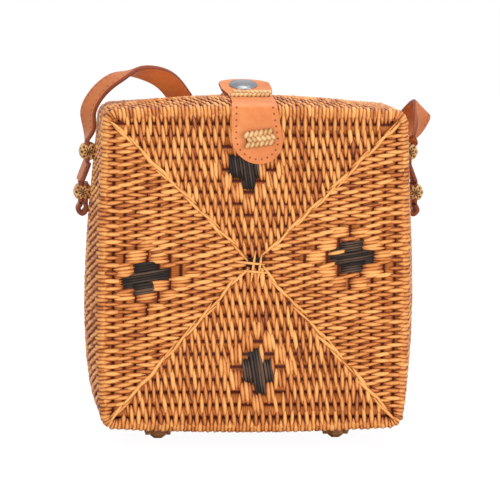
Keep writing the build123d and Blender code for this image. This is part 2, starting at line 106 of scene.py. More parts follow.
class Nodes:
    """Short names for the nodes of one material, or of the world."""

    def __init__(self, owner, shader="Principled BSDF"):
        owner.use_nodes = True
        self.owner = owner
        self.tree = owner.node_tree
        self.shader = self.tree.nodes[shader]

    def add(self, kind, settings=(), **inputs):
        """A node with its settings and inputs, where an input is a value or a socket."""
        node = self.tree.nodes.new("ShaderNode" + kind)
        for name, value in dict(settings).items():
            setattr(node, name, value)
        for name, value in inputs.items():
            self.feed(node, name.replace("_", " "), value)
        return node

    def feed(self, node, name, value):
        socket = node.inputs[int(name)] if name.isdigit() else node.inputs[name]
        if isinstance(value, bpy.types.NodeSocket):
            self.tree.links.new(value, socket)
        else:
            socket.default_value = value

    def math(self, operation, *values):
        node = self.add("Math", {"operation": operation})
        for index, value in enumerate(values):
            self.feed(node, str(index), value)
        return node.outputs[0]

    def noise(self, scale, detail=3.0, vector=None):
        place = vector or self.place()
        node = self.add("TexNoise", Vector=place, Scale=scale, Detail=detail)
        return node.outputs["Fac"]

    def place(self):
        return self.add("TexCoord").outputs["Object"]

    def ramp(self, factor, *stops):
        node = self.add("ValToRGB", Fac=factor)
        elements = node.color_ramp.elements
        for index, (position, colour) in enumerate(stops):
            stop = elements[index] if index < 2 else elements.new(position)
            stop.position = position
            stop.color = (*colour, 1)
        return node.outputs["Color"]

    def mix(self, factor, a, b, blend="MIX"):
        node = self.add("Mix", {"data_type": "RGBA", "blend_type": blend})
        self.feed(node, "0", factor)
        for index, colour in ((6, a), (7, b)):
            value = (*colour, 1) if isinstance(colour, tuple) else colour
            self.feed(node, str(index), value)
        return node.outputs[2]

    def attribute(self, name):
        return self.add("Attribute", {"attribute_name": name}).outputs["Fac"]

    def finish(self, colour, roughness, height=None, depth=0.1 * mm, **inputs):
        value = (*colour, 1) if isinstance(colour, tuple) else colour
        self.feed(self.shader, "Base Color", value)
        self.feed(self.shader, "Roughness", roughness)
        if height is not None:
            bump = self.add("Bump", Height=height, Distance=depth, Strength=1.0)
            self.feed(self.shader, "Normal", bump.outputs["Normal"])
        for name, value in inputs.items():
            self.feed(self.shader, name.replace("_", " "), value)
        return self.owner


def core_material():
    """Wrapped bundles in stripes across the coil, with painted shade where turns meet and round the
    start of the coil.
    """
    n = Nodes(bpy.data.materials.new("grass_core"))
    split = n.add("SeparateXYZ", Vector=n.place())
    x = n.math("SUBTRACT", split.outputs["X"], middle.x + weave_centre[0])
    y = n.math("SUBTRACT", split.outputs["Y"], middle.y)
    z = n.math("SUBTRACT", split.outputs["Z"], middle.z + weave_centre[1])
    counts = []
    for quarter, place in enumerate((z, x, z, x)):
        sign = 1 if quarter < 2 else -1
        past = n.math("SUBTRACT", n.math("MULTIPLY", place, sign), first_lines[quarter])
        counts.append(n.math("ADD", n.math("DIVIDE", past, line_pitches[quarter]), 1.0))
    wide = n.math("MAXIMUM", counts[1], counts[3])
    tall = n.math("MAXIMUM", counts[0], counts[2])
    ring = n.math("MAXIMUM", wide, tall)
    deep = n.math("DIVIDE", n.math("SUBTRACT", shell_depth, n.math("ABSOLUTE", y)), wall_pitch)
    on_face = n.math("LESS_THAN", ring, line_count + 0.4)
    turn = n.add("Mix", Factor=on_face)
    n.feed(turn, "2", n.math("MAXIMUM", deep, 0.5))
    n.feed(turn, "3", ring)
    line = n.math("PINGPONG", turn.outputs[0], 0.5)
    sideways = n.math("GREATER_THAN", wide, tall)
    along = n.add("Mix", Factor=sideways)
    n.feed(along, "2", x)
    n.feed(along, "3", z)
    wobble = n.math("MULTIPLY", n.noise(120.0), 1.6 * mm)
    stripe = n.math("SINE", n.math("DIVIDE", n.math("ADD", along.outputs[0], wobble), 0.22 * mm))
    tone = n.math("ADD", n.math("MULTIPLY", stripe, 0.16), n.noise(60.0))
    straw = n.ramp(tone, (0.2, (0.33, 0.076, 0.011)), (0.8, (0.60, 0.185, 0.034)))
    # Painted shade: the core is darkened along the lines where two turns meet, standing in for the
    # shade in the holes between the turns.
    shade_line = n.math("MULTIPLY", line, n.math("SUBTRACT", 2.0, on_face))
    dark = n.ramp(shade_line, (0.08, (0.16, 0.05, 0.025)), (0.24, (1, 1, 1)))
    colour = n.mix(1.0, straw, dark, "MULTIPLY")
    # Painted shade: the core is also darkened round the start of the coil, standing in for the
    # shade in the holes there.
    start = n.ramp(ring, (0.45, (0.12, 0.05, 0.03)), (0.75, (1, 1, 1)))
    colour = n.mix(1.0, colour, start, "MULTIPLY")
    return n.finish(colour, 0.6, stripe, 0.15 * mm, Specular_IOR_Level=0.25)


def repaint(material, *nodes):
    """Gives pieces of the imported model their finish."""
    for node in nodes:
        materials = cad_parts[node].data.materials
        materials.clear()
        materials.append(material)


repaint(core_material(), "front_shell", "back_shell")


# Strands of the front face
# Split grass strands stitch each turn to the next one: each runs outwards over the line
# between two turns and dives under at the next lines, where its neighbours come up.
seed = np.random.default_rng(11)
strand_facets = 4
strand_steps = 8
strand_round = 0.60 * mm
strand_low = ridge_height - 0.15 * mm
strand_rise = 1.25 * mm
strand_lean = 0.10
top_spacing = 2.4 * mm
side_spacing = 2.15 * mm
strand_width = 2.7 * mm
strand_reach = 0.93
most_columns = 50
block_width = 25 * mm
block_length = 33 * mm
spacings = [top_spacing, side_spacing, top_spacing, side_spacing]
dyed_spacing = 1.75 * mm
cross_lean = 0.16
# Bars of each dark cross in mm: near end, far end, left and right, from the middle of the face
dark_crosses = {
    "top": (0, [(50.0, 79.8, -8.3, -1.8), (57.3, 73.2, -17.0, -8.8), (57.3, 73.2, -1.3, 2.0)]),
    "right": (1, [(47.6, 78.4, -10.0, -3.6), (55.3, 70.7, -17.0, -10.5), (55.3, 70.7, -3.2, 3.0)]),
    "bottom": (2, [(52.5, 83.2, -6.5, 1.0), (59.2, 75.8, -12.6, -7.0), (59.2, 75.8, 1.5, 6.8)]),
    "left": (3, [(54.6, 87.5, -9.3, -2.8), (62.3, 78.4, -17.0, -9.8), (62.3, 78.4, -2.0, 3.2)]),
}


# One strand laid flat: X across, Y along it, both from -1 to 1
bm = bmesh.new()
bmesh.ops.create_grid(bm, x_segments=strand_facets, y_segments=strand_steps, size=1.0)
template = bpy.data.meshes.new("strand")
bm.to_mesh(template)
bm.free()


def new_piece(name, bm, *materials, smooth=True):
    """A finished bmesh made a piece with its materials."""
    if smooth:
        for face in bm.faces:
            face.smooth = True
    mesh = bpy.data.meshes.new(name)
    bm.to_mesh(mesh)
    bm.free()
    for material in materials:
        mesh.materials.append(material)
    piece = bpy.data.objects.new(name, mesh)
    bpy.context.scene.collection.objects.link(piece)
    return piece


def fasten(piece, body):
    """Puts a piece on the part of the bag that carries it."""
    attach(piece, body)
    return piece


def lay_strands(name, rows, surface, body, slot, material, rise=strand_rise):
    """Strands on a surface. A row holds a strand's place across, its start and end along,
    its width, its lift, its lean and its tone."""
    rows = np.array(rows, float)
    flat = np.array([v.co for v in template.vertices])
    bm = bmesh.new()
    for row in rows:
        bm.from_mesh(template)
    piece = new_piece(name, bm, material)
    mesh = piece.data
    u, start, end, width, lift, lean, tone = (column[:, None] for column in rows.T)
    across, along = flat[None, :, 0], flat[None, :, 1]
    taper = 1 - 0.5 * np.abs(along) ** 2.5
    reach = start + (end - start) * (along + 1) / 2
    side = u + across * width / 2 * taper - lean * (reach - (start + end) / 2)
    arch = np.cos(along * math.pi / 2) ** 0.7
    crown = np.sqrt(np.clip(1 - across**2, 0, 1)) * strand_round * taper
    height = lift + strand_low + rise * arch + crown - strand_round
    place, normal = surface(side.ravel(), reach.ravel())
    co = place + normal * height.ravel()[:, None] + np.array(middle)
    mesh.vertices.foreach_set("co", co.astype(np.float32).ravel())
    for attribute, values in (
        ("tone", np.repeat(tone, len(flat))),
        ("along", np.tile(flat[:, 1], len(rows))),
        ("across", np.tile(flat[:, 0], len(rows))),
    ):
        layer = mesh.attributes.new(attribute, "FLOAT", "POINT")
        layer.data.foreach_set("value", values.astype(np.float32))
    mesh.update()
    return fasten(piece, body)


def flat_surface(centre, across, along, outward=(0.0, -1.0, 0.0)):
    """Turns a place on a flat patch into a point and its outward side."""
    centre, across, along = np.array(centre), np.array(across), np.array(along)

    def place(side, reach):
        points = centre + side[:, None] * across + reach[:, None] * along
        return points, np.tile(np.array(outward), (len(side), 1))

    return place


def face_surface(quarter):
    """Places in one quarter of the face."""
    ux, uz, sx, sz = turns[quarter]
    return flat_surface((weave_centre[0], face_y, weave_centre[1]), (ux, 0, uz), (sx, 0, sz))


def strand_material(name, dark, middle_tone, light, rough=0.42):
    """Dry split grass with fine fibres along it, paler on its crown as a painted highlight and
    darker towards its flanks and ends as painted shade.
    """
    n = Nodes(bpy.data.materials.new(name))
    across = n.math("ABSOLUTE", n.attribute("across"))
    along = n.math("ABSOLUTE", n.attribute("along"))
    tone = n.math("ADD", n.attribute("tone"), n.math("MULTIPLY", n.noise(300.0), 0.35))
    # Painted shade: darker towards the strand's flanks and towards its ends, where it dives under
    # its neighbours; its crown stays paler, a painted highlight.
    tone = n.math("SUBTRACT", tone, n.math("MULTIPLY", n.math("POWER", across, 1.6), 0.68))
    tone = n.math("SUBTRACT", tone, n.math("MULTIPLY", n.math("POWER", along, 2.5), 0.40))
    colour = n.ramp(tone, (0.05, dark), (0.45, middle_tone), (0.95, light))
    fibre = n.math("SINE", n.math("MULTIPLY", n.attribute("across"), 14.0))
    return n.finish(colour, rough, fibre, 0.04 * mm, Specular_IOR_Level=0.3)


light_grass = strand_material(
    "light_grass", (0.16, 0.026, 0.004), (0.59, 0.168, 0.028), (0.93, 0.46, 0.14)
)
dark_grass = strand_material(
    "dark_grass", (0.008, 0.004, 0.002), (0.028, 0.015, 0.009), (0.13, 0.070, 0.042), 0.45
)


def in_block(quarter, reach, u):
    """Whether a strand lies where strands go in blocks, round the quarter's cross."""
    bars = [bars for q, bars in dark_crosses.values() if q == quarter][0]
    low, high, left, right = bars[0]
    off_side = abs(u - (left + right) / 2 * mm) / block_width
    off_along = abs(reach - (low + high) / 2 * mm) / block_length
    return off_side + off_along < 1


def under_cross(quarter, reach, u):
    """Whether a strand's middle lies under a bar of the quarter's dark cross."""
    for q, bars in dark_crosses.values():
        for low, high, left, right in bars:
            off = cross_lean * (reach - (low + high) / 2 * mm)
            if q == quarter and low < reach / mm < high and left < (u + off) / mm < right:
                return True
    return False


def face_rows(quarter, with_cross):
    """Strands of one quarter of the face, from the middle outwards."""
    rows = []
    first, pitch = first_lines[quarter], line_pitches[quarter]
    spacing = spacings[quarter]
    beside = {-1: (quarter - 1) % 4, 1: (quarter + 1) % 4}
    off_u, off_reach = off_centre[quarter]
    for line in range(1, line_count):
        reach = first + (line - 1) * pitch
        for column in range(-most_columns, most_columns):
            u = (column + 0.5) * spacing
            side = beside[1 if u > 0 else -1]
            turned = (abs(u) - first_lines[side]) / line_pitches[side] + 1
            if turned > line + 0.1:
                continue
            group, wide = column, 1.0
            if with_cross and in_block(quarter, reach + off_reach, u + off_u):
                group = math.floor(column / (3 if quarter % 2 == 0 else 4))
                wide = 1.05
                if under_cross(quarter, reach + off_reach, u + off_u):
                    continue
            if (group + line) % 2:
                continue
            mitre = first + (turned - 1) * pitch
            rows.append((
                u + seed.normal(0, 0.16 * mm),
                max(reach - strand_reach * pitch, mitre - 0.25 * pitch) + seed.normal(0, 0.35 * mm),
                reach + strand_reach * pitch + seed.normal(0, 0.35 * mm),
                strand_width * wide * seed.uniform(0.85, 1.15),
                seed.normal(0, 0.09 * mm),
                strand_lean + seed.normal(0, 0.06),
                np.clip(seed.normal(0.66, 0.17), 0.2, 1.05),
            ))
    return rows


def cross_rows(quarter, bars):
    """Dyed strands of one stepped cross, side by side in each of its bars."""
    rows = []
    off_u, off_reach = off_centre[quarter]
    for low, high, left, right in bars:
        count = max(round((right - left) * mm / dyed_spacing), 2)
        width = (right - left) * mm / count
        for index in range(count):
            rows.append((
                left * mm + (index + 0.5) * width - off_u,
                low * mm - off_reach + seed.normal(0, 0.3 * mm),
                high * mm - off_reach + seed.normal(0, 0.3 * mm),
                width * 1.15,
                0.30 * mm + seed.normal(0, 0.08 * mm),
                cross_lean,
                np.clip(seed.normal(0.60, 0.28), 0, 1.1),
            ))
    return rows


def rib_line(x_sign, z_sign):
    """First and last corner of the turns along one diagonal, from the start of the coil."""
    side = 1 if x_sign > 0 else 3
    end = 0 if z_sign > 0 else 2
    near = Vector((x_sign * first_lines[side], z_sign * first_lines[end]))
    far = Vector((x_sign * last_lines[side], z_sign * last_lines[end]))
    return near, far


def rib_rows(length):
    """Strands laid one after another along a diagonal of the face, each at its own slant."""
    rows = []
    for step in range(line_count):
        sway = 1 if step % 2 else -1
        start = (step - 0.9 + seed.normal(0, 0.10)) * length
        rows.append((
            sway * 0.45 * mm + seed.normal(0, 0.2 * mm),
            start,
            min(start + seed.uniform(1.6, 2.0) * length, (line_count - 0.7) * length),
            2.1 * mm * seed.uniform(0.85, 1.15),
            0.55 * mm + 0.12 * mm * sway,
            sway * 0.09 + seed.normal(0, 0.04),
            np.clip(seed.normal(0.95, 0.12), 0.6, 1.15),
        ))
    for step in range(1, line_count - 2, 2):
        start = (step + seed.uniform(0, 1)) * length
        rows.append((
            seed.choice([-1.3, 1.3]) * mm,
            start,
            start + 1.5 * length,
            1.6 * mm,
            0.25 * mm,
            seed.normal(0, 0.06),
            np.clip(seed.normal(0.75, 0.12), 0.4, 1.1),
        ))
    return rows


def rib_surface(near, far):
    """Places along a diagonal of the face, from its first corner to its last."""
    along = (far - near).normalized()
    start = (weave_centre[0] + near.x, face_y, weave_centre[1] + near.y)
    return flat_surface(start, (along.y, 0, -along.x), (along.x, 0, along.y))


def start_rows(places, lift):
    """Strands that tie the start of the coil: place and both ends in mm, and the lean."""
    return [(u * mm, a * mm, b * mm, 1.7 * mm, lift, lean, 1.05) for u, a, b, lean in places]


def woven_face(prefix, with_cross):
    """All strands of one face."""
    laid = []
    for quarter, side in enumerate(("top", "right", "bottom", "left")):
        laid.append(("_weave_" + side, face_rows(quarter, with_cross), face_surface(quarter)))
    for x_sign, z_sign, corner in ((-1, 1, "a"), (1, 1, "b"), (1, -1, "c"), (-1, -1, "d")):
        near, far = rib_line(x_sign, z_sign)
        rows = rib_rows((far - near).length / (line_count - 1))
        laid.append(("_rib_" + corner, rows, rib_surface(near, far)))
    upright = start_rows([(-0.4, -14.1, 8.4, -0.14), (3.8, -13.5, 6.5, -0.14)], 0.3 * mm)
    level = start_rows([(-0.4, -13.2, 7.6, -0.10), (5.3, -7.4, 9.7, -0.09)], 0.9 * mm)
    laid.append(("_start_upright", upright, face_surface(0)))
    laid.append(("_start_level", level, face_surface(1)))
    return [
        lay_strands(prefix + name, rows, surface, "front", "woven_grass", light_grass)
        for name, rows, surface in laid
    ]


woven_face("front", True)
for side, cross in dark_crosses.items():
    surface = face_surface(cross[0])
    lay_strands("dyed_" + side, cross_rows(*cross), surface, "front", "dyed_grass", dark_grass)
    repaint(dark_grass, "dark_cross_" + side)


# Strands of the walls
# The same stitching goes on over the edge of the face and down the side walls to the rim,
# where it runs level with the seam's edge.
edge_radius = 3.5 * mm
outer_corner = 9.0 * mm
wall_spacing = 2.5 * mm
wall_seat = -ridge_height
wall_lean = 0.22
edge_lean = 0.05
edge_rise = 0.6 * mm
edge_end = 4.0 * mm
shortest_strand = 2.0 * mm
rim_gap = 0.6 * mm
corners = np.array([
    (-half_width, top_reach),
    (half_width, top_reach),
    (half_width, -bottom_reach),
    (-half_width, -bottom_reach),
])
# Each side of the outline is a quarter turn, of which this share is the side and the rest
# is the corner after it. A quarter turn counts as this length of wall.
side_share = 0.93
quarter_length = 200 * mm
turn_step = 0.0005
wall_step = 0.2 * mm


def outline(turn, inset, depth):
    """Points of the outline of a shell, turning once as turn goes from 0 to 4."""
    quarter = np.floor(turn).astype(int) % 4
    share = turn - np.floor(turn)
    start, end = corners[quarter], corners[(quarter + 1) % 4]
    start = start - np.sign(start) * inset[:, None]
    end = end - np.sign(end) * inset[:, None]
    ahead = (end - start) / np.linalg.norm(end - start, axis=1)[:, None]
    outward = np.stack([-ahead[:, 1], ahead[:, 0]], 1)
    round_off = np.clip(outer_corner - 0.8 * inset, 3 * mm, None)[:, None]
    near = start + ahead * round_off
    far = end - ahead * round_off
    run = np.clip(share / side_share, 0, 1)[:, None]
    from_low = np.choose(quarter, [run[:, 0], 1 - run[:, 0], run[:, 0], run[:, 0]])
    sag = np.where(quarter % 2 == 1, 1 / side_sag, 1)
    sagged = (from_low**sag)[:, None]
    bow = flare(depth, bulges[quarter])[:, None] * 4 * sagged * (1 - sagged)
    angle = np.clip((share - side_share) / (1 - side_share), 0, 1)[:, None] * math.pi / 2
    bend = outward * (np.cos(angle) - 1) + ahead * np.sin(angle)
    return near + (far - near) * run + outward * bow + bend * round_off


def wall_point(turn, reach):
    """Point at a length beyond the edge of the face, measured over the rounded edge."""
    arc = edge_radius * math.pi / 2
    angle = np.clip((reach + arc / 2) / edge_radius, 0, math.pi / 2)
    before = np.clip(-arc / 2 - reach, 0, None)
    beyond = np.clip(reach - arc / 2, 0, None)
    inset = edge_radius * (1 - np.sin(angle))
    depth = (edge_radius + ridge_height) * (1 - np.cos(angle)) - ridge_height + beyond
    flat = outline(turn, inset, depth)
    ahead = outline(turn + turn_step, inset, depth) - flat
    inwards = np.stack([ahead[:, 1], -ahead[:, 0]], 1) / np.linalg.norm(ahead, axis=1)[:, None]
    flat = flat + inwards * before[:, None]
    return np.stack([flat[:, 0], face_y + depth, flat[:, 1]], 1)


def wall_surface(side, reach):
    """Point on the edge or wall of a shell, and its outward side."""
    turn = side / quarter_length
    point = wall_point(turn, reach)
    along = wall_point(turn + wall_step / quarter_length, reach) - point
    over = wall_point(turn, reach + wall_step) - point
    normal = np.cross(along, over)
    normal /= np.linalg.norm(normal, axis=1)[:, None]
    return point, normal


# Lines over which the strands run: the last one of the face, given as None, one just past
# the edge, one between each two turns of the wall and one at the rim
inner_lines = [index * wall_pitch for index in range(1, 6)]
wall_lines = [None, 1.8 * mm] + inner_lines + [shell_depth - 1.0 * mm]
columns = 2 * int(4 * quarter_length / wall_spacing / 2)


def corner_room(u):
    """Length beside a place on the wall that is free up to the nearer corner of its side."""
    share = u / quarter_length % 1 / side_share
    quarter = int(u / quarter_length) % 4
    span = 2 * half_width if quarter % 2 == 0 else top_reach + bottom_reach
    return max(min(share, 1 - share), 0) * (span - 2 * outer_corner) + outer_corner * 0.6


def wall_rows():
    """Strands from the last line of the face to the rim."""
    rows = []
    for index, place in enumerate(wall_lines):
        for column in range(columns):
            if (column + index) % 2:
                continue
            u = (column + 0.5) * 4 * quarter_length / columns
            edge_line = edge_lines[int(u / quarter_length) % 4]
            line = -edge_line if place is None else place
            before = line - (edge_line if index < 2 else wall_pitch) * strand_reach
            before = max(before, -corner_room(u))
            if line - before < shortest_strand:
                continue
            rows.append((
                u + seed.normal(0, 0.2 * mm),
                before + seed.normal(0, 0.3 * mm),
                min(line + wall_pitch * strand_reach, shell_depth - rim_gap),
                strand_width * 1.05 * seed.uniform(0.85, 1.15),
                wall_seat + seed.normal(0, 0.08 * mm),
                (wall_lean if index > 1 else edge_lean) + seed.normal(0, 0.05),
                np.clip(seed.normal(0.66, 0.16), 0.2, 1.05),
            ))
    return rows


def edge_rows():
    """Close wraps of the turn that goes round the edge of the face."""
    rows = []
    for column in range(columns):
        u = (column + 0.5) * 4 * quarter_length / columns
        inner = edge_lines[int(u / quarter_length) % 4] - 0.9 * mm
        rows.append((
            u,
            -min(inner, corner_room(u)),
            edge_end,
            wall_spacing * 1.15,
            wall_seat + 0.1 * mm,
            0.0,
            np.clip(seed.normal(0.60, 0.12), 0.3, 0.9),
        ))
    return rows


def mirrored(piece, name):
    """Copy of a piece on the back shell, on the other side of the seam."""
    bm = bmesh.new()
    bm.from_mesh(piece.data)
    flip = Matrix.Translation((0, 2 * middle.y, 0)) @ Matrix.Diagonal((1, -1, 1, 1))
    bmesh.ops.transform(bm, matrix=flip, verts=bm.verts)
    bmesh.ops.reverse_faces(bm, faces=bm.faces)
    fasten(new_piece(name, bm, light_grass), "back")


for name, rows, rise in (
    ("wall_weave", wall_rows(), strand_rise),
    ("edge_weave", edge_rows(), edge_rise),
):
    laid = ("front_" + name, rows, wall_surface, "front", "woven_grass", light_grass, rise)
    mirrored(lay_strands(*laid), "back_" + name)
# The strands of the back face are laid on the front one, without crosses, and copied over.
for piece in woven_face("back_face", False):
    mirrored(piece, piece.name.replace("back_face", "back"))
    bpy.data.objects.remove(piece)


# Leather tab and flap
# One piece of vegetable-tanned leather, 2 mm thick: a tongue laced to the front face that
# goes up over the top and ends in a round flap with the snap. Its edge is punched for
# stitches and burnished brown.
leather = 2.0 * mm
crest_y = face_y - 1.3 * mm
tab_bottom = 67 * mm
tab_radius = 16.5 * mm
tab_waist = 14 * mm
tab_centre = 1.8 * mm
tab_lean = math.radians(5)
flap_centre = -4.2 * mm
flap_radius = 18.0 * mm
flap_pivot_y = -8.0 * mm
snap_y = 7.6 * mm
snap_lift = 3.6 * mm
hole_inset = 3.0 * mm
hole_spacing = 3.9 * mm
hole_radius = 0.78 * mm
hole_end = 38 * mm
waist_reach = 44 * mm
# The tongue leans to the left at tab_lean. At the fold and at the flap's end the leather has
# leaned by what that slope gives over these two lengths.
tongue_reach = 34 * mm
fold_lean = 38 * mm
flap_end_lean = 68.6 * mm


def top_crest(y):
    """Height of the top wall in the middle, at a place from front to back."""
    return top_reach + float(flare(shell_depth - abs(y) + half_seam, bulges[0]))


leather_seat = 0.25 * mm + leather / 2
flap_pivot_z = top_crest(flap_pivot_y) + leather_seat
snap_z = top_crest(snap_y) + leather_seat + leather + snap_lift - leather / 2
flap_lean = math.atan2(snap_z - flap_pivot_z, snap_y - flap_pivot_y)
snap_out = (snap_y - flap_pivot_y) / math.cos(flap_lean)
flap_reach = snap_out - 0.6 * mm + flap_radius


def leather_material(name, dark, body_tone, light, rough=0.5):
    """Tanned leather with a fine grain, cloudy tone and soft sheen."""
    n = Nodes(bpy.data.materials.new(name))
    fine_cloud = n.math("MULTIPLY", n.noise(260.0), 0.3)
    cloud = n.math("MULTIPLY_ADD", n.noise(28.0, 4.0), 0.7, fine_cloud)
    colour = n.ramp(cloud, (0.30, dark), (0.52, body_tone), (0.78, light))
    grain = n.noise(1500.0, 2.0)
    return n.finish(colour, rough, grain, 0.05 * mm, Specular_IOR_Level=0.3)


tab_leather = leather_material(
    "tab_leather", (0.58, 0.165, 0.045), (0.72, 0.225, 0.066), (0.84, 0.33, 0.12)
)
leather_edge = leather_material(
    "leather_edge", (0.18, 0.035, 0.013), (0.26, 0.058, 0.022), (0.36, 0.095, 0.036)
)
# Past the snap the flap bends down a little towards its end.
bend_out = snap_out + 6 * mm
flap_along = Vector((math.cos(flap_lean), math.sin(flap_lean)))
flap_bend = Vector((flap_pivot_y, flap_pivot_z)) + flap_along * bend_out
flap_run = flap_reach - bend_out
flap_end = flap_bend + Vector((flap_run, flap_run * math.tan(flap_lean) * 0.5))
front_y = crest_y - leather_seat
route = np.array([
    (front_y, tab_bottom),
    (front_y, 98 * mm),
    (front_y + 1.6 * mm, 103.2 * mm),
    (front_y + 5.9 * mm, top_crest(front_y + 5.9 * mm) + leather_seat + 0.4 * mm),
    (-20 * mm, top_crest(-20 * mm) + leather_seat + 0.1 * mm),
    (flap_pivot_y, flap_pivot_z),
    (flap_bend.x, flap_bend.y),
    (flap_end.x, flap_end.y),
])
lengths = np.concatenate([[0], np.cumsum(np.linalg.norm(np.diff(route, axis=0), axis=1))])
tab_length = lengths[-1]
pivot_length = lengths[-3]
# The route's corners are rounded by a weighted mean over 30 fine steps on either side.
reaches = np.linspace(0, 1, 1200) * tab_length
half_window = 30
window = np.hanning(2 * half_window + 1)
tab_line = []
for axis in (0, 1):
    line = np.interp(reaches, lengths, route[:, axis])
    ahead = 2 * line[-1] - line[-half_window - 1:-1][::-1]
    behind = 2 * line[0] - line[1:half_window + 1][::-1]
    longer = np.concatenate([behind, line, ahead])
    tab_line.append(np.convolve(longer, window / window.sum(), "valid"))


def tab_half(reach):
    """Half the leather's width at a length from its lower tip."""
    low = np.sqrt(np.clip(tab_radius**2 - np.clip(tab_radius - reach, 0, None) ** 2, 0, None))
    left = tab_length - reach
    high = np.sqrt(np.clip(flap_radius**2 - np.clip(flap_radius - left, 0, None) ** 2, 0, None))
    stops = [tab_radius, waist_reach, pivot_length, tab_length - flap_radius]
    body = np.interp(reach, stops, [tab_radius, tab_waist, tab_waist, flap_radius])
    return np.minimum(np.minimum(low, high) + 0.02 * mm, body)


def tab_surface(side, reach):
    """Point in the middle of the leather, and its outward side."""
    step = 0.3 * mm
    y, z = (np.interp(reach, reaches, line) for line in tab_line)
    dy, dz = (
        np.interp(reach + step, reaches, line) - np.interp(reach - step, reaches, line)
        for line in tab_line
    )
    size = np.hypot(dy, dz)
    stops = [0, tongue_reach, pivot_length, tab_length]
    leans = [0, tongue_reach, fold_lean, flap_end_lean]
    x = side + tab_centre - np.interp(reach, stops, leans) * math.tan(tab_lean)
    normal = np.stack([np.zeros_like(y), -dz / size, dy / size], 1)
    return np.stack([x, y, z], 1), normal


def leather_piece():
    """Grid of leather trimmed to its outline, laid along the route and made thick."""
    bm = bmesh.new()
    bmesh.ops.create_grid(bm, x_segments=22, y_segments=150, size=1.0)
    flat = np.array([v.co for v in bm.verts])
    reach = tab_length * (1 - np.cos((flat[:, 1] + 1) / 2 * math.pi)) / 2
    side = np.sin(flat[:, 0] * math.pi / 2) * tab_half(reach)
    for vert, point in zip(bm.verts, tab_surface(side, reach)[0]):
        vert.co = Vector(point) + middle
    bmesh.ops.remove_doubles(bm, verts=bm.verts, dist=0.01 * mm)
    obj = new_piece("tab_leather", bm, tab_leather, leather_edge)
    thick = obj.modifiers.new("thick", "SOLIDIFY")
    thick.thickness = leather
    thick.offset = 0
    thick.material_offset_rim = 1
    edge = obj.modifiers.new("edge", "BEVEL")
    edge.width = 0.4 * mm
    edge.segments = 2
    edge.angle_limit = math.radians(50)
    return obj


tab = leather_piece()
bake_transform(tab)
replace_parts(tab, "front_tab", "closure_flap")


def hole_line():
    """Places of the punched holes round the tongue."""
    places = []
    for sign in (-1, 1):
        reach = tab_radius
        while reach < hole_end:
            half = float(tab_half(np.array([reach]))[0])
            places.append((sign * (half - hole_inset), reach))
            reach += hole_spacing
    radius = tab_radius - hole_inset
    count = round(math.pi * radius / hole_spacing)
    for index in range(1, count):
        angle = math.pi * index / count
        places.append((radius * math.cos(angle), tab_radius - radius * math.sin(angle)))
    return places


def punched_holes(name, places, surface, lift, body):
    """Small dark discs just proud of the leather, one for each stitch hole: the painted shade of
    the holes.
    """
    bm = bmesh.new()
    points, normals = surface(*np.array(places).T)
    for point, normal in zip(points, normals):
        turn = Vector(normal).to_track_quat("Z", "Y").to_matrix().to_4x4()
        centre = Vector(point) + Vector(normal) * lift + middle
        matrix = Matrix.Translation(centre) @ turn
        bmesh.ops.create_cone(
            bm, cap_ends=True, segments=8, radius1=hole_radius,
            radius2=hole_radius * 0.7, depth=0.12 * mm, matrix=matrix,
        )
    fasten(new_piece(name, bm, leather_edge, smooth=False), body)


punched_holes("tab_holes", hole_line(), tab_surface, leather / 2, "front")


# Plaited lacings
# Flat plaits of split grass, laced through the leather and the wall behind it: a wide one
# on the tongue, a narrow one before the fold and one like it on the rear tab.
braid_pitch = 2.9 * mm
braid_strand = 3.5 * mm
braid_rise = 0.9 * mm
braid_grass = strand_material(
    "braid_grass", (0.36, 0.13, 0.035), (0.66, 0.36, 0.14), (0.88, 0.62, 0.32)
)
# Finish of the blocks and barrels under plaits and keepers: dark painted shade for the holes
# between their strands.
painted_shade_core = strand_material(
    "painted_shade_core", (0.10, 0.030, 0.008), (0.22, 0.075, 0.020), (0.40, 0.16, 0.05), 0.6
)


def braid_rows(length, width, columns):
    """Columns of slanted strands side by side, each column leaning against the last."""
    rows = []
    count = round(length / braid_pitch)
    pitch = width / columns
    half = 0.66 * pitch
    for column in range(columns):
        sign = 1 if column % 2 else -1
        reach = (column - (columns - 1) / 2) * pitch
        for index in range(count):
            u = (index + 0.5 + 0.25 * sign) * length / count - length / 2
            tone = seed.uniform(0.40, 0.75)
            rows.append((u, reach - half, reach + half, braid_strand, 0, 0.45 * sign, tone))
    return rows


def braid_bed(name, centre, size, tilt):
    """Rounded block under a plait, dark with painted shade, that closes the holes between its
    strands.
    """
    bm = bmesh.new()
    place = Matrix.Translation(centre + middle) @ tilt @ Matrix.Diagonal((*size, 1))
    bmesh.ops.create_cube(bm, size=1.0, matrix=place)
    bmesh.ops.bevel(bm, geom=bm.edges[:], offset=min(size) * 0.45, segments=3, affect="EDGES")
    fasten(new_piece(name, bm, painted_shade_core), "front")


def plait(level, rows, surface):
    """One plait on the tongue, in place of its plain solid."""
    name = "tab_braid_" + level
    laid = lay_strands(name, rows, surface, "front", "plaited_grass", braid_grass, braid_rise)
    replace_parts(laid, "front_braid_" + level)


lower_tilt = math.radians(8)
lower_across = (math.cos(lower_tilt), 0, math.sin(lower_tilt))
lower_up = (-math.sin(lower_tilt), 0, math.cos(lower_tilt))
lower_centre = Vector((2.0 * mm, front_y - leather / 2 - 0.9 * mm, 83.6 * mm))
lower_bed = (17.8 * mm, 1.8 * mm, 9.8 * mm)
plait(
    "lower", braid_rows(18.3 * mm, 10.0 * mm, 3), flat_surface(lower_centre, lower_across, lower_up)
)

